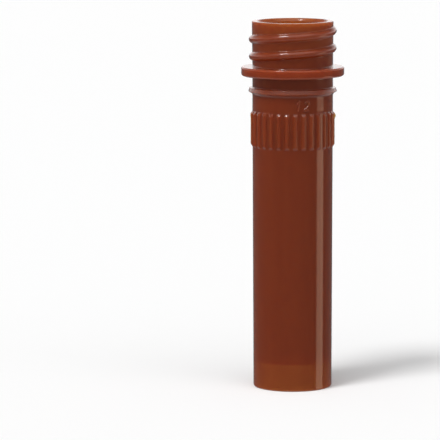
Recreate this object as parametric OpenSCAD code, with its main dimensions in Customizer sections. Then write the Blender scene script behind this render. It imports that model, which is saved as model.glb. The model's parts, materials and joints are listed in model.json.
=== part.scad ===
// Screw-neck sample tube, 2 ml, self-standing on a skirt, moulded in one piece.
// The foot of the skirt lies on z = 0 and the tube's axis is Z. All sizes are in millimetres.

/* [Tube] */
// Height from the foot of the skirt to the rim
tube_height = 45; // [40:0.5:60]
// Diameter of the straight bore that the cap's plug seals in
bore_diameter = 8.2; // [7:0.1:14]
// Depth of that straight bore, measured from the rim
seal_depth = 8; // [3:0.5:14]
// Taper of the bore from there to the floor, taken off the radius
bore_draft = 0.15; // [0:0.05:0.4]
// Thickness of the wall at the foot of the neck
neck_wall = 0.8; // [0.6:0.05:1.6]
// Wall that the taper of the neck adds by the rim
neck_draft = 0.05; // [0:0.01:0.2]
// Thickness of the wall of the body, just under the ribs
body_wall = 0.78; // [0.6:0.02:1.6]
// Taper of the body from the ribs to the foot, taken off the radius
body_draft = 0.09; // [0:0.01:0.2]
// Rounding of the rim's outer edge
rim_rounding = 0.1; // [0:0.05:0.3]
// Rounding of the rim's inner edge, which leads the cap's plug in
bore_rounding = 0.5; // [0:0.05:0.5]

/* [Skirt and floor] */
// Thickness of the skirt at the foot
skirt_wall = 0.65; // [0.4:0.05:1.2]
// Rounding of the two edges of the foot
foot_rounding = 0.2; // [0:0.05:0.3]
// Height of the floor's underside above the foot, at the axis
floor_recess = 1.3; // [0.5:0.1:6]
// Thickness of the floor at the axis
floor_wall = 0.9; // [0.6:0.05:2]
// Slope of the conical floor, in degrees above the horizontal
floor_slope = 32; // [15:1:50]
// Rounding between the floor and the wall, inside the tube
floor_rounding = 1.2; // [0:0.1:2]
// Diameter of the flat at the lowest point inside
floor_flat = 1.6; // [0.8:0.1:3]
// Outer diameter of the ring that the injection gate leaves
gate_diameter = 1.3; // [1:0.1:2.4]
// Width and height of that ring
gate_ring = 0.15; // [0.1:0.05:0.3]

/* [Flange] */
// Distance from the rim down to the top of the flange
flange_drop = 5.64; // [4:0.1:10]
// Thickness of the flange
flange_thickness = 1.04; // [0.6:0.02:2]
// How far the flange stands out from the neck
flange_reach = 1.36; // [0.8:0.05:3]
// Rounding of the flange's upper edge
flange_top_rounding = 0.22; // [0:0.02:0.3]
// Rounding of the flange's lower edge
flange_base_rounding = 0.3; // [0:0.05:0.5]

/* [Thread] */
// Rise of the single-start, right-hand thread in one turn
thread_pitch = 2.1; // [1.6:0.1:3]
// How far the rounded thread stands out from the neck
thread_height = 0.4; // [0.2:0.05:0.8]
// Width of the thread at its root
thread_width = 1; // [0.6:0.1:1.5]
// Distance from the rim down to the thread's centre line, at its upper end
thread_rim_gap = 0.76; // [0.6:0.02:2]
// Distance from the flange up to the thread's centre line, at its lower end
thread_flange_gap = 0.86; // [0.6:0.02:2]
// Angle over which each end of the thread fades into the neck
thread_fade = 50; // [20:5:90]
// Angle about the axis at which the thread's upper end lies
thread_end = 75; // [0:5:355]

/* [Retaining bead] */
// Distance from the underside of the flange to the bead's flat upper side
bead_drop = 1.42; // [1:0.02:4]
// Width of that upper side
bead_ledge = 0.22; // [0.1:0.02:0.5]
// How far the bead stands out from the neck at its edge
bead_height = 0.48; // [0.2:0.02:0.9]
// How far the bead's face falls from its upper side to its edge
bead_fall = 0.48; // [0.2:0.02:1]
// How far its lower side falls from the edge to the body
bead_base_slope = 0.26; // [0.1:0.02:0.6]
// Rounding of the bead's two corners
bead_rounding = 0.08; // [0:0.02:0.1]
// Fillet where the bead's lower side meets the body
bead_fillet = 0.4; // [0.1:0.05:0.4]

/* [Ribs] */
// Number of ribs that stop the tube turning in its rack
rib_count = 30; // [12:1:36]
// How far a rib stands out from the body
rib_height = 0.23; // [0.1:0.01:0.4]
// Width of a rib at its root
rib_width = 0.56; // [0.3:0.02:0.8]
// Distance from the underside of the flange to the upper end of the ribs
rib_drop = 4.32; // [3:0.02:8]
// Length of the ribs
rib_length = 4.38; // [2:0.02:12]
// Length over which the upper end of a rib slopes to the wall
rib_top_slope = 0.32; // [0.2:0.02:1]
// Length over which the lower end of a rib slopes to the wall
rib_base_slope = 0.35; // [0.2:0.05:1]
// Angle about the axis of the first rib, which lies on the mould's parting line
rib_angle = -2.2; // [-6:0.1:6]

/* [Hidden] */

// Straight steps on a quarter of a rounded edge
ARC_STEPS = 6;
// Straight steps on the thread: around its rounded section, and in one turn
THREAD_SECTION_STEPS = 8;
THREAD_TURN_STEPS = 48;
// Share of its full size that the thread keeps at its tips
THREAD_TIP = 0.15;
// How far the thread and the ribs are rooted below the surface that they stand on
ROOT = 0.1;
// Fillets: where the flange and the bead's upper side leave the wall, and under the floor
ROOT_FILLET = 0.12;
SKIRT_FILLET = 0.4;
// Largest share of the shorter neighbouring edge that one rounding may use
ROUNDING_SHARE = 0.49;

bore_r = bore_diameter / 2;
neck_r = bore_r + neck_wall;
rim_r = neck_r + neck_draft;
body_r = bore_r + body_wall;
foot_r = body_r - body_draft;
skirt_r = foot_r - skirt_wall;
floor_bore_r = bore_r - bore_draft;
floor_flat_r = floor_flat / 2;
gate_r = gate_diameter / 2;
flange_r = neck_r + flange_reach;

flange_top = tube_height - flange_drop;
flange_base = flange_top - flange_thickness;
bead_top = flange_base - bead_drop;
bead_edge = bead_top - bead_fall;
bead_r = neck_r + bead_height;
rib_top = flange_base - rib_drop;
rib_base = rib_top - rib_length;
seal_base = tube_height - seal_depth;

// Heights of the floor: on the axis, and where its cone meets the skirt and the bore
floor_under = floor_recess;
floor_inside = floor_recess + floor_wall;
skirt_root = floor_under + (skirt_r - gate_r) * tan(floor_slope);
bore_root = floor_inside + (floor_bore_r - floor_flat_r) * tan(floor_slope);

// Height of the thread's centre line at its ends, and the angle that it turns through
thread_top = tube_height - thread_rim_gap;
thread_base = flange_top + thread_flange_gap;
thread_sweep = 360 * (thread_top - thread_base) / thread_pitch;

// Half of the tube's section. Each corner is [radius, height, rounding].
outline = [
    // gate mark and underside of the floor
    [0, floor_under, 0],
    [gate_r - gate_ring, floor_under, 0],
    [gate_r - gate_ring, floor_under - gate_ring, 0],
    [gate_r, floor_under - gate_ring, 0],
    [gate_r, floor_under, 0],
    [skirt_r, skirt_root, SKIRT_FILLET],
    // skirt and body
    [skirt_r, 0, foot_rounding],
    [foot_r, 0, foot_rounding],
    [body_r, rib_base, 0],
    // retaining bead
    [neck_r, bead_edge - bead_base_slope, bead_fillet],
    [bead_r, bead_edge, bead_rounding],
    [neck_r + bead_ledge, bead_top, bead_rounding],
    [neck_r, bead_top, ROOT_FILLET],
    // flange
    [neck_r, flange_base, ROOT_FILLET],
    [flange_r, flange_base, flange_base_rounding],
    [flange_r, flange_top, flange_top_rounding],
    [neck_r, flange_top, ROOT_FILLET],
    // rim and bore
    [rim_r, tube_height, rim_rounding],
    [bore_r, tube_height, bore_rounding],
    [bore_r, seal_base, 0],
    [floor_bore_r, bore_root, floor_rounding],
    [floor_flat_r, floor_inside, 0],
    [0, floor_inside, 0],
];

// Cross-section through the ends of the ribs, which cuts them to their slopes
rib_limit = [
    [body_r - ROOT, rib_base - ROOT],
    [body_r, rib_base],
    [body_r + rib_height, rib_base + rib_base_slope],
    [body_r + rib_height + ROOT, rib_base + rib_base_slope],
    [body_r + rib_height + ROOT, rib_top - rib_top_slope],
    [body_r + rib_height, rib_top - rib_top_slope],
    [body_r, rib_top],
    [body_r - ROOT, rib_top],
];

function direction(from, to) = (to - from) / norm(to - from);
function flat_part(corner) = [corner[0], corner[1]];

// Points of one corner, rounded where its rounding is more than 0
function corner_points(before, corner, after) =
    let (
        at = flat_part(corner),
        back = direction(at, flat_part(before)),
        ahead = direction(at, flat_part(after)),
        half = acos(back * ahead) / 2,
        room = min(norm(flat_part(before) - at), norm(flat_part(after) - at)) * ROUNDING_SHARE,
        r = min(corner[2], room * tan(half)),
        middle = at + direction([0, 0], back + ahead) * r / sin(half),
        first = at + back * r / tan(half) - middle,
        turn = (180 - 2 * half) * sign(back[0] * ahead[1] - back[1] * ahead[0]),
        steps = ceil(ARC_STEPS * (180 - 2 * half) / 90)
    )
    r <= 0 ? [at] : [for (i = [0:steps]) middle + turned(first, -turn * i / steps)];

function turned(v, angle) = [
    v[0] * cos(angle) - v[1] * sin(angle),
    v[0] * sin(angle) + v[1] * cos(angle),
];

function rounded(corners) =
    let (n = len(corners))
    [for (i = [0:n - 1]) each corner_points(corners[(i + n - 1) % n], corners[i], corners[(i + 1) % n])];

// Share of its full size that the thread has at an angle along it: its tips lie in the wall
function thread_growth(angle) =
    let (ramp = min(angle, thread_sweep - angle, thread_fade) / thread_fade)
    THREAD_TIP + (1 - THREAD_TIP) * sin(90 * ramp);

// Radius of the neck's tapered wall at a height
function neck_surface(z) = neck_r + neck_draft * (z - flange_top) / flange_drop;

// One section of the thread: the round side first, then the root inside the wall
function thread_section(angle) =
    let (
        z = thread_base + thread_pitch * angle / 360,
        growth = thread_growth(angle),
        out = (thread_height + ROOT) * growth,
        side = thread_width / 2 * (0.4 + 0.6 * growth),
        root_r = neck_surface(z) - ROOT,
        place = thread_end - thread_sweep + angle
    )
    [for (i = [0:THREAD_SECTION_STEPS])
        let (
            a = -90 + 180 * i / THREAD_SECTION_STEPS,
            r = root_r + out * cos(a)
        )
        [r * cos(place), r * sin(place), z + side * sin(a)]
    ];

module shell() {
    rotate_extrude($fn = 120) polygon(rounded(outline));
}

module ribs() {
    // A round bar whose surface meets the wall rib_width apart and stands rib_height out of it
    bar_r = (rib_width * rib_width / 4 + rib_height * rib_height) / (2 * rib_height);
    intersection() {
        for (i = [0:rib_count - 1])
            rotate(rib_angle + i * 360 / rib_count)
                translate([body_r + rib_height - bar_r, 0, rib_base - ROOT])
                    cylinder(h = rib_length + 2 * ROOT, r = bar_r, $fn = 32);
        rotate_extrude($fn = 120) polygon(rib_limit);
    }
}

module thread() {
    rings = ceil(thread_sweep / 360 * THREAD_TURN_STEPS);
    n = THREAD_SECTION_STEPS + 1;
    sections = [for (i = [0:rings]) thread_section(thread_sweep * i / rings)];
    sides = [for (i = [0:rings - 1], k = [0:n - 1])
        let (
            a = i * n + k,
            b = i * n + (k + 1) % n
        )
        each [[a, b, b + n], [a, b + n, a + n]]
    ];
    first_end = [for (k = [n - 1:-1:0]) k];
    last_end = [for (k = [0:n - 1]) rings * n + k];
    polyhedron(
        points = [for (section = sections) each section],
        faces = concat(sides, [first_end], [last_end]),
        convexity = 6
    );
}

module tube() {
    color([0.45, 0.2, 0.12])
        union() {
            shell();
            ribs();
            thread();
        }
}

tube();
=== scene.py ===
"""Looks of a moulded 2 ml screw-neck sample tube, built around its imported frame.

The tube is one closed mesh: rings of points around the Z axis follow its section, and the
thread, the ribs, the parting line and the raised digits are reliefs on those rings.
Lengths are millimetres until the mesh is made, and angles are degrees.
"""
import json
import math

import bpy
import numpy as np
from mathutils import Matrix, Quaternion, Vector


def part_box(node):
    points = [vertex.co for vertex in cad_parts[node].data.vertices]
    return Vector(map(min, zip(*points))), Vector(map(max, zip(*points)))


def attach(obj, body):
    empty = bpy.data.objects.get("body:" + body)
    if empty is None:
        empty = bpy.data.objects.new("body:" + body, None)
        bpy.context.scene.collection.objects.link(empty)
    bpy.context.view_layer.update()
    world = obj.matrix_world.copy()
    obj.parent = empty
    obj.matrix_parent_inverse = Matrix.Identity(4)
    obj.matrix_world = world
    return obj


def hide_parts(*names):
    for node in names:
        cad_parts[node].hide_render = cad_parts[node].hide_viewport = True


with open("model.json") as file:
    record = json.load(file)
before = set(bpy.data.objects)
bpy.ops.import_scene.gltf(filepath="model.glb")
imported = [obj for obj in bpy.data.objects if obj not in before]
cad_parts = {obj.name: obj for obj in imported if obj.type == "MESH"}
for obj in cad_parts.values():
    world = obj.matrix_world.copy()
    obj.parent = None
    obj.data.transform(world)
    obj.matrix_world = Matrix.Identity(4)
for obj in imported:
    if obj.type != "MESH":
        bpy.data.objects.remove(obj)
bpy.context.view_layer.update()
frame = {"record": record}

MM = 0.001
tube_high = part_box("tube")[1]
mounts = {mount["name"]: mount for mount in frame["record"]["mounts"]}

# ---- sizes of the tube -------------------------------------------------------------------

# From the frame
HEIGHT = tube_high.z / MM
FLANGE_R = tube_high.x / MM
BORE_R = mounts["neck_bore"]["dims"]["r_mm"]
FLANGE_BASE = mounts["flange_underside"]["pos_m"][2] / MM
RIB_MIDDLE = mounts["rack_ribs"]["pos_m"][2] / MM

# Walls, bore and rim
NECK_R = BORE_R + 0.8
RIM_R = NECK_R + 0.05
BODY_R = BORE_R + 0.78
FOOT_R = BODY_R - 0.09
SEAL_DEPTH = 8
FLOOR_BORE_R = BORE_R - 0.15
RIM_ROUNDING = 0.1
BORE_ROUNDING = 0.5

# Skirt and floor
SKIRT_R = FOOT_R - 0.65
FOOT_ROUNDING = 0.2
FLOOR_UNDER = 1.3
FLOOR_INSIDE = FLOOR_UNDER + 0.9
FLOOR_SLOPE = 32
FLOOR_ROUNDING = 1.2
FLOOR_FLAT_R = 0.8
FLOOR_FLAT_ROUNDING = 0.3
GATE_R = 0.65
GATE_RING = 0.15
GATE_ROUNDING = 0.04
SKIRT_FILLET = 0.4

# Flange and retaining bead
FLANGE_TOP = FLANGE_BASE + 1.11
FLANGE_TOP_ROUNDING = 0.18
FLANGE_BASE_ROUNDING = 0.27
BEAD_TOP = FLANGE_BASE - 1.42
BEAD_LEDGE_R = NECK_R + 0.34
BEAD_R = NECK_R + 0.48
BEAD_EDGE = BEAD_TOP - 0.48
BEAD_BASE = BEAD_EDGE - 0.26
BEAD_ROUNDING = 0.06
BEAD_FILLET = 0.4
ROOT_FILLET = 0.12

# Thread: one start, right-hand. It fades over THREAD_FADE degrees at both ends, down to the share
# THREAD_TIP of its height and THREAD_TIP_WIDTH of its width, and its upper end is at THREAD_END
THREAD_PITCH = 2.1
THREAD_HEIGHT = 0.4
THREAD_WIDTH = 1.0
THREAD_TOP = HEIGHT - 0.76
THREAD_BASE = FLANGE_BASE + 1.9
THREAD_FADE = 50
THREAD_END = 75
THREAD_TIP = 0.15
THREAD_TIP_WIDTH = 0.4
THREAD_ROOT = 0.1
THREAD_FILLET = 0.07

# Ribs around the body
RIB_COUNT = 30
RIB_HEIGHT = 0.23
RIB_WIDTH = 0.56
RIB_TOP = RIB_MIDDLE + 2.19
RIB_BASE = RIB_MIDDLE - 2.19
RIB_TOP_SLOPE = 0.32
RIB_BASE_SLOPE = 0.35
RIB_END_FILLET = 0.03
RIB_FILLET = 0.035
RIB_ANGLE = -2.2

# Traces of the mould: the parting line on the outer wall, its flash on two ribs, given by their
# number, and the line around the ribs' tops
SEAM_HEIGHT = 0.02
SEAM_SPREAD = 1.2
SEAM_FROM_R = BODY_R - 0.1
FLASH_HEIGHT = {0: 0.15, 15: 0.04}
FLASH_SPREAD = 2.2
FLASH_BASE = RIB_TOP - 1.0
FLASH_PEAK = RIB_TOP - 0.55
FLASH_TOP = RIB_TOP - 0.15
LINE_HEIGHT = 0.012
LINE_WIDTH = 0.07

# Raised digits on the band above the ribs: DIGIT_MIDDLE is the azimuth of their middle
DIGIT_BASE = RIB_TOP + 0.45
DIGIT_HEIGHT = 1.15
DIGIT_WIDTH = 0.62
DIGIT_GAP = 0.42
DIGIT_MIDDLE = -76.5
DIGIT_SLANT = 0.16
STROKE_HALF = 0.055
STROKE_EDGE = 0.045
STROKE_HEIGHT = 0.15
DIGIT_ARC_STEPS = 10

# Mesh density: steps in a quarter turn of a rounding, how close to its ends a long stretch gets
# extra rings, and the greatest distances between rings in each part of the height
ARC_STEPS = 6
SUPPORT = 0.06
BODY_ROW = 3.2
FINE_ROW = 0.07
RIB_ROW = 0.8
RIB_TOP_ROW = 0.055
RIB_MARGIN = 0.12
BAND_ROW = 0.22
GROOVE_ROW = 0.25

# The digits' patch: its grid's spacing up in millimetres and across in degrees, and how far it
# reaches past the digits, in millimetres
PATCH_ROW = 0.036
PATCH_COLUMN = 0.42
PATCH_ABOVE = 0.2
PATCH_BESIDE = 0.25

# Azimuths of the columns of points, measured from each rib's middle. A ring closer than POLE_REACH
# to the axis has a point on every 12th column, and one inside the tube on every second column
RIB_COLUMNS = (-4.4, -3.45, -2.9, -2.2, -1.2, 0, 1.2, 2.2, 2.9, 3.45, 4.4, 6.0)
MIDDLE_COLUMN = RIB_COLUMNS.index(0)
POLE_REACH = 1
POLE_STRIDE = 12
INSIDE_STRIDE = 2


# ---- section of the tube -----------------------------------------------------------------

def corner_points(before, corner, after):
    """Points (r, z, zone) of a corner (r, z, rounding, zone): an arc where it is rounded."""
    at = np.array(corner[:2], float)
    rounding, zone = corner[2], corner[3]
    if rounding <= 0:
        return [(at[0], at[1], zone)]
    to_before = np.array(before[:2], float) - at
    to_after = np.array(after[:2], float) - at
    back = to_before / np.linalg.norm(to_before)
    ahead = to_after / np.linalg.norm(to_after)
    half = math.acos(float(back @ ahead)) / 2
    room = min(np.linalg.norm(to_before), np.linalg.norm(to_after)) * 0.49
    r = min(rounding, room * math.tan(half))
    bisector = (back + ahead) / np.linalg.norm(back + ahead)
    middle = at + bisector * r / math.sin(half)
    first = at + back * r / math.tan(half) - middle
    turn = -(math.pi - 2 * half) * np.sign(back[0] * ahead[1] - back[1] * ahead[0])
    steps = math.ceil(ARC_STEPS * (math.pi - 2 * half) / (math.pi / 2) - 1e-6)
    points = []
    for i in range(steps + 1):
        a = turn * i / steps
        x = middle[0] + first[0] * math.cos(a) - first[1] * math.sin(a)
        z = middle[1] + first[0] * math.sin(a) + first[1] * math.cos(a)
        points.append((x, z, zone if i == steps else "arc"))
    return points


def steps_between(start, end, step):
    """Evenly spaced values from start to end, no further apart than step."""
    return list(np.linspace(start, end, max(1, math.ceil(abs(end - start) / step - 1e-6)) + 1))


def body_heights():
    """Heights of the rings on the body: dense at the ends of the ribs, sparse between them."""
    low = RIB_BASE - RIB_MARGIN
    above_slope = RIB_BASE + RIB_BASE_SLOPE + RIB_MARGIN
    high = RIB_TOP + RIB_MARGIN
    return (
        steps_between(0, low, BODY_ROW)
        + steps_between(low, above_slope, FINE_ROW)
        + steps_between(above_slope, FLASH_BASE, RIB_ROW)
        + steps_between(FLASH_BASE, high, RIB_TOP_ROW)
        + steps_between(high, BEAD_BASE, BAND_ROW)
    )


ZONE_HEIGHTS = {
    "body": body_heights(),
    "groove": steps_between(BEAD_TOP, FLANGE_BASE, GROOVE_ROW),
    "thread": steps_between(FLANGE_TOP, HEIGHT, FINE_ROW),
}


def refined(points):
    """The section with rings added: at a zone's own heights, or close to the ends of a stretch."""
    rows = []
    for here, following in zip(points, points[1:] + [None]):
        rows.append(here)
        if following is None or here[2] == "arc":
            continue
        p, q = np.array(here[:2]), np.array(following[:2])
        length = np.linalg.norm(q - p)
        if here[2] in ZONE_HEIGHTS:
            shares = [(h - p[1]) / (q[1] - p[1]) for h in ZONE_HEIGHTS[here[2]]]
        else:
            shares = [SUPPORT / length, 1 - SUPPORT / length] if length > 5 * SUPPORT else []
        gap = 0.3 * SUPPORT / length
        kept = [s for s in sorted(set(shares)) if gap < s < 1 - gap]
        rows += [(*(p + (q - p) * s), here[2]) for s in kept]
    return rows


def section():
    """Half of the tube's section: from the axis under the floor, up the outside, to the axis inside."""
    rise = math.tan(math.radians(FLOOR_SLOPE))
    skirt_root = FLOOR_UNDER + (SKIRT_R - GATE_R) * rise
    bore_root = FLOOR_INSIDE + (FLOOR_BORE_R - FLOOR_FLAT_R) * rise
    corners = [
        (0, FLOOR_UNDER, 0, "floor"),
        (GATE_R - GATE_RING, FLOOR_UNDER, GATE_ROUNDING, "floor"),
        (GATE_R - GATE_RING, FLOOR_UNDER - GATE_RING, GATE_ROUNDING, "floor"),
        (GATE_R, FLOOR_UNDER - GATE_RING, GATE_ROUNDING, "floor"),
        (GATE_R, FLOOR_UNDER, GATE_ROUNDING, "skirt"),
        (SKIRT_R, skirt_root, SKIRT_FILLET, "skirt"),
        (SKIRT_R, 0, FOOT_ROUNDING, "foot"),
        (FOOT_R, 0, FOOT_ROUNDING, "body"),
        (BODY_R, RIB_BASE, 0, "body"),
        (NECK_R, BEAD_BASE, BEAD_FILLET, "bead"),
        (BEAD_R, BEAD_EDGE, BEAD_ROUNDING, "bead"),
        (BEAD_LEDGE_R, BEAD_TOP, BEAD_ROUNDING, "bead"),
        (NECK_R, BEAD_TOP, ROOT_FILLET, "groove"),
        (NECK_R, FLANGE_BASE, ROOT_FILLET, "flange"),
        (FLANGE_R, FLANGE_BASE, FLANGE_BASE_ROUNDING, "flange"),
        (FLANGE_R, FLANGE_TOP, FLANGE_TOP_ROUNDING, "flange"),
        (NECK_R, FLANGE_TOP, ROOT_FILLET, "thread"),
        (RIM_R, HEIGHT, RIM_ROUNDING, "rim"),
        (BORE_R, HEIGHT, BORE_ROUNDING, "bore"),
        (BORE_R, HEIGHT - SEAL_DEPTH, 0, "bore"),
        (FLOOR_BORE_R, bore_root, FLOOR_ROUNDING, "bore"),
        (FLOOR_FLAT_R, FLOOR_INSIDE, FLOOR_FLAT_ROUNDING, "bore"),
        (0, FLOOR_INSIDE, 0, "bore"),
    ]
    points = []
    for i, corner in enumerate(corners):
        points += corner_points(corners[i - 1], corner, corners[(i + 1) % len(corners)])
    return refined(points)


# ---- reliefs on the section --------------------------------------------------------------

def smooth_max(a, b, width):
    """The larger of a and b, with a fillet of about that width between them."""
    overlap = np.maximum(width - np.abs(a - b), 0)
    return np.maximum(a, b) + overlap * overlap / (4 * width)


def signed_angle(a, b):
    """a - b, in degrees from -180 to 180."""
    return (np.asarray(a) - b + 180) % 360 - 180


def thread_relief(z, azimuth):
    """How far the thread stands out of the neck at a height, for each azimuth."""
    sweep = 360 * (THREAD_TOP - THREAD_BASE) / THREAD_PITCH
    along = (azimuth - (THREAD_END - sweep)) % 360
    relief = np.full(azimuth.shape, -THREAD_ROOT)
    while along.min() < sweep:
        inside = along <= sweep
        ramp = np.clip(np.minimum(along, sweep - along), 0, THREAD_FADE) / THREAD_FADE
        growth = THREAD_TIP + (1 - THREAD_TIP) * np.sin(np.radians(90 * ramp))
        side = THREAD_WIDTH / 2 * (THREAD_TIP_WIDTH + (1 - THREAD_TIP_WIDTH) * growth)
        share = (z - THREAD_BASE - THREAD_PITCH * along / 360) / side
        bead = np.sqrt(np.maximum(1 - share * share, 0)) * (THREAD_HEIGHT + THREAD_ROOT) * growth
        relief = np.where(inside, np.maximum(relief, bead - THREAD_ROOT), relief)
        along = along + 360
    return smooth_max(relief, 0.0, THREAD_FILLET)


def rib_relief(z, azimuth):
    """How far the ribs, the line at their tops and the flash on them stand out of the body."""
    wall = wall_r(z)
    bar_r = (RIB_WIDTH ** 2 / 4 + RIB_HEIGHT ** 2) / (2 * RIB_HEIGHT)
    centre = BODY_R + RIB_HEIGHT - bar_r
    spacing = 360 / RIB_COUNT
    offset = (azimuth - RIB_ANGLE + spacing / 2) % spacing - spacing / 2
    aside = centre * np.sin(np.radians(offset))
    reach = np.sqrt(np.maximum(bar_r ** 2 - aside ** 2, 0))
    bar = np.where(reach > 0, centre * np.cos(np.radians(offset)) + reach - wall, -RIB_HEIGHT)
    slopes = min((RIB_TOP - z) / RIB_TOP_SLOPE, (z - RIB_BASE) / RIB_BASE_SLOPE)
    rib = -smooth_max(-bar, -RIB_HEIGHT * slopes, RIB_END_FILLET)
    relief = smooth_max(rib, 0.0, RIB_FILLET)
    relief = relief + LINE_HEIGHT * np.exp(-((z - RIB_TOP) / LINE_WIDTH) ** 2)
    rise = np.interp(z, [FLASH_BASE, FLASH_PEAK, FLASH_TOP], [0, 1, 0])
    for rib_number, height in FLASH_HEIGHT.items():
        beside = np.abs(signed_angle(azimuth, RIB_ANGLE + rib_number * spacing))
        relief = relief + height * rise * np.maximum(1 - beside / FLASH_SPREAD, 0)
    return relief


def seam_relief(azimuth):
    """The parting line: a low ridge up both sides of the tube."""
    beside = np.minimum(
        np.abs(signed_angle(azimuth, RIB_ANGLE)), np.abs(signed_angle(azimuth, RIB_ANGLE + 180))
    )
    return SEAM_HEIGHT * np.maximum(1 - beside / SEAM_SPREAD, 0)


def wall_r(z):
    """Radius of the body's outer wall at a height."""
    return float(np.interp(z, [0, RIB_BASE, BEAD_BASE], [FOOT_R, BODY_R, NECK_R]))


def ring_radii(r, z, zone, azimuth):
    """Radius of one ring at each azimuth, reliefs included."""
    radii = np.full(azimuth.shape, float(r))
    if zone == "thread":
        radii = radii + thread_relief(z, azimuth)
    if zone == "body":
        radii = radii + rib_relief(z, azimuth)
    if r > SEAM_FROM_R:
        radii = radii + seam_relief(azimuth)
    return radii


# ---- raised digits -----------------------------------------------------------------------

def oval_arc(centre, half_width, half_height, start, end):
    """Points of an oval's arc as (across, up), from one angle to another."""
    return [
        (centre[0] + half_width * math.cos(a), centre[1] + half_height * math.sin(a))
        for a in np.radians(np.linspace(start, end, DIGIT_ARC_STEPS + 1))
    ]


# Each digit is a list of strokes in a box one wide and one high
DIGITS = [
    [[(0.12, 0.74), (0.56, 1.0), (0.56, 0.0)]],
    [oval_arc((0.5, 0.7), 0.42, 0.3, 165, -35) + [(0.05, 0.0), (0.98, 0.0)]],
]


def stroke_lines():
    """The digits' strokes as pairs of points, in millimetres from the middle of the digits' foot."""
    lines = []
    for number, digit in enumerate(DIGITS):
        left = (number - len(DIGITS) / 2) * (DIGIT_WIDTH + DIGIT_GAP) + DIGIT_GAP / 2
        for stroke in digit:
            points = [
                (left + x * DIGIT_WIDTH + y * DIGIT_HEIGHT * DIGIT_SLANT, y * DIGIT_HEIGHT)
                for x, y in stroke
            ]
            lines += list(zip(points[:-1], points[1:]))
    return lines


def digit_relief(across, up):
    """How far the digits stand out, for points measured across and up in millimetres."""
    nearest = np.full(np.shape(across), 1e9)
    for (x0, y0), (x1, y1) in stroke_lines():
        dx, dy = x1 - x0, y1 - y0
        share = np.clip(((across - x0) * dx + (up - y0) * dy) / (dx * dx + dy * dy), 0, 1)
        nearest = np.minimum(nearest, np.hypot(across - x0 - share * dx, up - y0 - share * dy))
    edge = np.clip((STROKE_HALF + STROKE_EDGE - nearest) / STROKE_EDGE, 0, 1)
    return STROKE_HEIGHT * edge * edge * (3 - 2 * edge)


# ---- mesh --------------------------------------------------------------------------------

def column_azimuths():
    """Azimuths of all the columns of points: the same set on every rib."""
    spacing = 360 / RIB_COUNT
    ribs = [RIB_ANGLE + spacing * k for k in range(RIB_COUNT)]
    return np.array([rib + offset for rib in ribs for offset in RIB_COLUMNS])


def stride_of(r, zone):
    """A ring has a point on every so many columns: the inside and the poles need fewer."""
    if r < POLE_REACH:
        return POLE_STRIDE
    return INSIDE_STRIDE if zone in ("bore", "skirt", "floor") else 1


class Mesh:
    """Points and faces, with extra points on some edges where a finer patch joins."""

    def __init__(self):
        self.points = []
        self.faces = []
        self.split = {}

    def add(self, radius, azimuth, z):
        """Adds a point and gives its number."""
        a = math.radians(azimuth)
        self.points.append((radius * math.cos(a), radius * math.sin(a), z))
        return len(self.points) - 1

    def edge(self, a, b):
        """The points on the edge from a to b: a, and the extra ones before b."""
        if (a, b) in self.split:
            return [a] + self.split[(a, b)]
        if (b, a) in self.split:
            return [a] + self.split[(b, a)][::-1]
        return [a]

    def face(self, corners):
        """Adds a face with the extra points of its edges."""
        loop = []
        for a, b in zip(corners, corners[1:] + corners[:1]):
            loop += self.edge(a, b)
        self.faces.append(loop)


def join_rings(mesh, lower, upper):
    """Faces between two rings, each a full list of columns in which skipped ones are None."""
    count = len(lower)
    low_at = [j for j in range(count) if lower[j] is not None]
    high_at = [j for j in range(count) if upper[j] is not None]
    coarse = low_at if len(low_at) <= len(high_at) else high_at
    for a, b in zip(coarse, coarse[1:] + [coarse[0] + count]):
        span_low = [lower[j % count] for j in range(a, b + 1) if lower[j % count] is not None]
        span_high = [upper[j % count] for j in range(a, b + 1) if upper[j % count] is not None]
        mesh.face(span_low + span_high[::-1])


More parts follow.
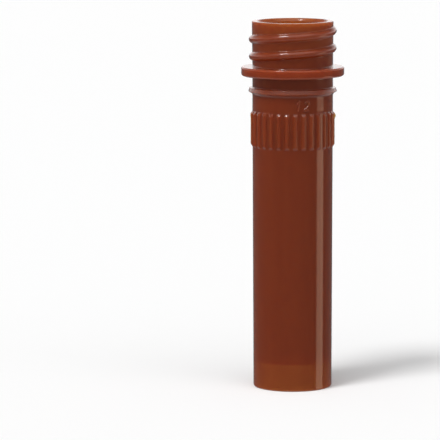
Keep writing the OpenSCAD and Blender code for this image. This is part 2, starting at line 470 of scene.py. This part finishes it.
def digit_patch(mesh, rings, rows, azimuth):
    """Replaces the block of faces around the digits with a finer grid that carries their relief."""
    half = math.degrees((len(DIGITS) * (DIGIT_WIDTH + DIGIT_GAP) / 2 + PATCH_BESIDE) / BODY_R)
    beside = [float(signed_angle(a, DIGIT_MIDDLE)) for a in azimuth]
    columns = sorted((j for j in range(len(azimuth)) if abs(beside[j]) <= half), key=beside.__getitem__)
    low = DIGIT_BASE - PATCH_ABOVE
    high = DIGIT_BASE + DIGIT_HEIGHT + PATCH_ABOVE
    levels = [i for i, row in enumerate(rows) if row[2] == "body" and low <= row[1] <= high]

    def fine(values, step):
        """Places of the fine lines: a coarse value's number, and the share of the way to the next."""
        places = []
        for k in range(len(values) - 1):
            parts = math.ceil((values[k + 1] - values[k]) / step - 1e-6)
            places += [(k, i / parts) for i in range(parts)]
        return places + [(len(values) - 1, 0.0)]

    def value_at(values, place):
        """The value at one of those places."""
        k, share = place
        return values[k] + (values[min(k + 1, len(values) - 1)] - values[k]) * share

    angles = [DIGIT_MIDDLE + beside[j] for j in columns]
    heights = [rows[i][1] for i in levels]
    across = fine(angles, PATCH_COLUMN)
    up = fine(heights, PATCH_ROW)
    grid = []
    for row_place in up:
        line = []
        z = value_at(heights, row_place)
        for place in across:
            on_coarse = row_place[1] == 0 and place[1] == 0
            on_border = row_place[0] in (0, len(levels) - 1) or place[0] in (0, len(columns) - 1)
            if on_coarse and on_border:
                line.append(rings[levels[row_place[0]]][columns[place[0]]])
                continue
            angle = value_at(angles, place)
            x = math.radians(angle - DIGIT_MIDDLE) * BODY_R
            radius = wall_r(z) + float(digit_relief(np.array(x), np.array(z - DIGIT_BASE)))
            line.append(mesh.add(radius, angle, z))
        grid.append(line)
    for a, b in zip(grid[:-1], grid[1:]):
        for c in range(len(across) - 1):
            mesh.faces.append([a[c], a[c + 1], b[c + 1], b[c]])

    def border(line, places):
        """Notes the fine points that lie on each coarse edge of the patch's border."""
        corners = [i for i, place in enumerate(places) if place[1] == 0]
        for i, j in zip(corners[:-1], corners[1:]):
            mesh.split[(line[i], line[j])] = line[i + 1:j]

    border(grid[0], across)
    border(grid[-1], across)
    border([line[0] for line in grid], up)
    border([line[-1] for line in grid], up)
    return {(i, j) for i in levels[:-1] for j in columns[:-1]}


def tube_mesh():
    """The tube as one closed mesh."""
    rows = section()
    azimuth = column_azimuths()
    mesh = Mesh()
    first_pole = mesh.add(0, 0, rows[0][1])
    rings = [None]
    for r, z, zone in rows[1:-1]:
        radii = ring_radii(r, z, zone, azimuth)
        stride = stride_of(r, zone)
        rings.append([
            mesh.add(radii[j], azimuth[j], z) if (j - MIDDLE_COLUMN) % stride == 0 else None
            for j in range(len(azimuth))
        ])
    last_pole = mesh.add(0, 0, rows[-1][1])
    replaced = digit_patch(mesh, rings, rows, azimuth)
    for i in range(1, len(rings) - 1):
        lower, upper = rings[i], rings[i + 1]
        if None in lower or None in upper:
            join_rings(mesh, lower, upper)
            continue
        for j in range(len(azimuth)):
            k = (j + 1) % len(azimuth)
            if (i, j) not in replaced:
                mesh.face([lower[j], lower[k], upper[k], upper[j]])
    for pole, ring in ((first_pole, rings[1][::-1]), (last_pole, rings[-1])):
        ring = [point for point in ring if point is not None]
        for a, b in zip(ring, ring[1:] + ring[:1]):
            mesh.face([a, b, pole])
    return mesh


def make_tube():
    """The one visible piece, which stands for the CAD's node of the same shape."""
    mesh = tube_mesh()
    data = bpy.data.meshes.new("tube_shell")
    data.from_pydata([tuple(c * MM for c in point) for point in mesh.points], [], mesh.faces)
    data.validate()
    data.polygons.foreach_set("use_smooth", [True] * len(data.polygons))
    data.update()
    tube = bpy.data.objects.new("tube_shell", data)
    bpy.context.scene.collection.objects.link(tube)
    tube.data.materials.append(plastic_material())
    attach(tube, "root")
    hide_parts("tube")


# ---- materials ---------------------------------------------------------------------------

PLASTIC_DARK = (0.205, 0.031, 0.008, 1)
PLASTIC_LIGHT = (0.24, 0.040, 0.010, 1)
PLASTIC_IOR = 1.49
ROUGHNESS = (0.05, 0.13)
SUBSURFACE_RADIUS = (5.0, 4.0, 3.0)

# Patterns in the plastic, with their scales per metre and their depths in metres
STREAK_SCALE = (420, 420, 18)
SKIN_SCALE = 900.0
SKIN_DEPTH = 0.0000004
WAVE_SCALE = 260.0
WAVE_DEPTH = 0.000003


class Nodes:
    """A short way to add and link shader nodes in one material."""

    def __init__(self, name):
        self.material = bpy.data.materials.new(name)
        self.material.use_nodes = True
        self.tree = self.material.node_tree
        self.shader = self.tree.nodes["Principled BSDF"]

    def add(self, kind, inputs=(), **settings):
        """Adds a node, with each input linked to a socket or set to a value."""
        node = self.tree.nodes.new(kind)
        for key, value in settings.items():
            setattr(node, key, value)
        for key, value in dict(inputs).items():
            if isinstance(value, bpy.types.NodeSocket):
                self.tree.links.new(value, node.inputs[key])
            else:
                node.inputs[key].default_value = value
        return node

    def feed(self, name, socket):
        """Links a socket to an input of the shader."""
        self.tree.links.new(socket, self.shader.inputs[name])

    def set(self, **inputs):
        """Sets inputs of the shader, named with underscores for spaces."""
        for key, value in inputs.items():
            name = key.replace("_", " ")
            self.shader.inputs[name].default_value = value


def plastic_material():
    """Amber-brown polypropylene: translucent, glossy, with faint flow streaks and an uneven skin."""
    nodes = Nodes("amber_polypropylene")
    place = nodes.add("ShaderNodeTexCoord").outputs["Object"]
    stretched = nodes.add("ShaderNodeMapping", {"Vector": place, "Scale": STREAK_SCALE})
    streaks = nodes.add(
        "ShaderNodeTexNoise",
        {"Vector": stretched.outputs["Vector"], "Scale": 1.0, "Detail": 3.0, "Roughness": 0.55},
    )
    colour = nodes.add(
        "ShaderNodeMix",
        {"Factor": streaks.outputs["Fac"], 6: PLASTIC_DARK, 7: PLASTIC_LIGHT},
        data_type="RGBA",
    )
    nodes.feed("Base Color", colour.outputs[2])
    skin = nodes.add("ShaderNodeTexNoise", {"Vector": place, "Scale": SKIN_SCALE, "Detail": 2.0})
    height = skin.outputs["Fac"]
    roughness = nodes.add(
        "ShaderNodeMapRange", {"Value": height, "To Min": ROUGHNESS[0], "To Max": ROUGHNESS[1]}
    )
    nodes.feed("Roughness", roughness.outputs["Result"])
    waves = nodes.add("ShaderNodeTexNoise", {"Vector": place, "Scale": WAVE_SCALE, "Detail": 1.0})
    wavy = nodes.add("ShaderNodeBump", {"Height": waves.outputs["Fac"], "Distance": WAVE_DEPTH})
    bump = nodes.add(
        "ShaderNodeBump",
        {"Height": height, "Normal": wavy.outputs["Normal"], "Distance": SKIN_DEPTH},
    )
    nodes.feed("Normal", bump.outputs["Normal"])
    nodes.set(
        IOR=PLASTIC_IOR,
        Specular_IOR_Level=0.5,
        Subsurface_Weight=1.0,
        Subsurface_Radius=SUBSURFACE_RADIUS,
        Subsurface_Scale=MM,
    )
    return nodes.material


def floor_material():
    """Plain matt white."""
    nodes = Nodes("floor_paint")
    nodes.set(Base_Color=FLOOR_COLOUR, Roughness=0.9, Specular_IOR_Level=0.0)
    return nodes.material


# ---- stage -------------------------------------------------------------------------------

# Camera: metres, degrees and, for the lens, millimetres on a sensor 36 wide
CAMERA_DISTANCE = 0.4118
CAMERA_HEIGHT = 0.0758
CAMERA_TURN = -1.2375
CAMERA_TILT = 7.642
CAMERA_ROLL = -0.13
CAMERA_LENS = 277.25

# Floor: its colour, and half of its side in metres
FLOOR_COLOUR = (0.955, 0.955, 0.955, 1)
FLOOR_HALF = 2.0

# World: how bright each part glows, and between which two heights, depths or cosines of a ray's
# direction it comes or goes. The room is all round, the front light above the camera, the backdrop
# low behind the tube, and the table below the horizon
HORIZON = (-0.01, 0.01)
ROOM = 0.2
TABLE_FAR = 0.17
TABLE_NEAR = 0.65
TABLE_SLOPE = (-0.55, -0.3)
FRONT_GLOW = 1.4
FRONT_AZIMUTH = 2
FRONT_ELEVATION = 20
FRONT_REACH = (0.28, 0.7)
FRONT_RISE = (0.05, 0.8)
BACKDROP_GLOW = 1.1
BACKDROP_REACH = (-0.6, 0.3)
BACKDROP_TOP = (0.19, 0.5)

# Lamps: degrees and metres
KEY = dict(azimuth=-42, elevation=57, angle=17, strength=1.45)
STRIP_PLACE = dict(azimuth=87, elevation=-10.2, distance=0.3)
STRIP_SIZE = (0.135, 0.118)
STRIP_RADIANCE = 2.2
STRIP_TINT = (1.0, 0.68, 0.48)


def make_camera():
    """Camera at the photograph's viewing angle: far off with a long lens, looking a little down."""
    turn, tilt = math.radians(CAMERA_TURN), math.radians(CAMERA_TILT)
    forward = Vector(
        (math.sin(turn) * math.cos(tilt), math.cos(turn) * math.cos(tilt), -math.sin(tilt))
    )
    data = bpy.data.cameras.new("camera")
    data.lens = CAMERA_LENS
    data.sensor_width = 36
    data.clip_start = 0.01
    data.clip_end = 10
    camera = bpy.data.objects.new("camera", data)
    camera.location = (0, -CAMERA_DISTANCE, CAMERA_HEIGHT)
    camera.rotation_mode = "QUATERNION"
    roll = Quaternion((0, 0, 1), math.radians(CAMERA_ROLL))
    camera.rotation_quaternion = forward.to_track_quat("-Z", "Y") @ roll
    bpy.context.scene.collection.objects.link(camera)
    bpy.context.scene.camera = camera


def make_floor():
    """A wide floor that takes the shadow. The tube is lit from below by the world's table instead."""
    data = bpy.data.meshes.new("floor")
    corners = [(-1, -1), (1, -1), (1, 1), (-1, 1)]
    data.from_pydata([(x * FLOOR_HALF, y * FLOOR_HALF, 0) for x, y in corners], [], [(0, 1, 2, 3)])
    floor = bpy.data.objects.new("floor", data)
    floor.data.materials.append(floor_material())
    floor.visible_glossy = False
    floor.visible_diffuse = False
    bpy.context.scene.collection.objects.link(floor)


def towards(azimuth, elevation):
    """Unit vector to a place seen from the tube: azimuth 0 is towards -Y and 90 towards +X."""
    a, e = math.radians(azimuth), math.radians(elevation)
    return Vector((math.sin(a) * math.cos(e), -math.cos(a) * math.cos(e), math.sin(e)))


def add_lamp(name, data, azimuth, elevation, distance=0):
    """Puts a lamp in the scene, turned to the tube."""
    lamp = bpy.data.objects.new(name, data)
    direction = towards(azimuth, elevation)
    lamp.location = direction * distance
    lamp.rotation_mode = "QUATERNION"
    lamp.rotation_quaternion = (-direction).to_track_quat("-Z", "Y")
    bpy.context.scene.collection.objects.link(lamp)
    return lamp


def make_key(azimuth, elevation, angle, strength):
    """The main light: far off and soft, so that it lights the whole floor evenly."""
    data = bpy.data.lights.new("key", "SUN")
    data.angle = math.radians(angle)
    data.energy = strength
    add_lamp("key", data, azimuth, elevation)


def make_strip_box():
    """A soft box that shows only in the tube's gloss, as the upright strip of light at its right."""
    data = bpy.data.lights.new("strip_box", "AREA")
    data.shape = "RECTANGLE"
    data.size, data.size_y = STRIP_SIZE
    data.energy = STRIP_RADIANCE * math.pi * STRIP_SIZE[0] * STRIP_SIZE[1]
    data.color = STRIP_TINT
    lamp = add_lamp("strip_box", data, **STRIP_PLACE)
    lamp.visible_camera = False
    lamp.visible_diffuse = False


def make_world():
    """The studio around the tube: front light, backdrop and room above the horizon, a table below."""
    world = bpy.data.worlds.new("studio")
    world.use_nodes = True
    tree = world.node_tree

    def ramp(value, span, low, high):
        """A node that goes from low to high as the value crosses the span."""
        node = tree.nodes.new("ShaderNodeMapRange")
        for name, number in zip(("From Min", "From Max", "To Min", "To Max"), (*span, low, high)):
            node.inputs[name].default_value = number
        tree.links.new(value, node.inputs["Value"])
        return node.outputs["Result"]

    def combined(operation, a, b):
        """A node that adds or multiplies a socket and another socket or a number."""
        node = tree.nodes.new("ShaderNodeMath")
        node.operation = operation
        tree.links.new(a, node.inputs[0])
        if isinstance(b, bpy.types.NodeSocket):
            tree.links.new(b, node.inputs[1])
        else:
            node.inputs[1].default_value = b
        return node.outputs["Value"]

    direction = tree.nodes.new("ShaderNodeTexCoord").outputs["Generated"]
    parts = tree.nodes.new("ShaderNodeSeparateXYZ")
    tree.links.new(direction, parts.inputs["Vector"])
    height = parts.outputs["Z"]
    depth = parts.outputs["Y"]
    facing = tree.nodes.new("ShaderNodeVectorMath")
    facing.operation = "DOT_PRODUCT"
    tree.links.new(direction, facing.inputs[0])
    facing.inputs[1].default_value = towards(FRONT_AZIMUTH, FRONT_ELEVATION)

    front_side = ramp(facing.outputs["Value"], FRONT_REACH, 0, FRONT_GLOW)
    front = combined("MULTIPLY", front_side, ramp(height, FRONT_RISE, 0, 1))
    back_side = ramp(depth, BACKDROP_REACH, 0, BACKDROP_GLOW)
    backdrop = combined("MULTIPLY", back_side, ramp(height, BACKDROP_TOP, 1, 0))
    room = combined("ADD", combined("ADD", front, backdrop), ROOM)
    above = combined("MULTIPLY", room, ramp(height, HORIZON, 0, 1))
    table = ramp(height, TABLE_SLOPE, TABLE_NEAR, TABLE_FAR)
    below = combined("MULTIPLY", table, ramp(height, HORIZON, 1, 0))
    background = tree.nodes["Background"]
    background.inputs["Color"].default_value = (1, 1, 1, 1)
    tree.links.new(combined("ADD", above, below), background.inputs["Strength"])
    bpy.context.scene.world = world


make_camera()
make_floor()
make_world()
make_key(**KEY)
make_strip_box()
make_tube()
bpy.context.scene.view_settings.view_transform = "Standard"
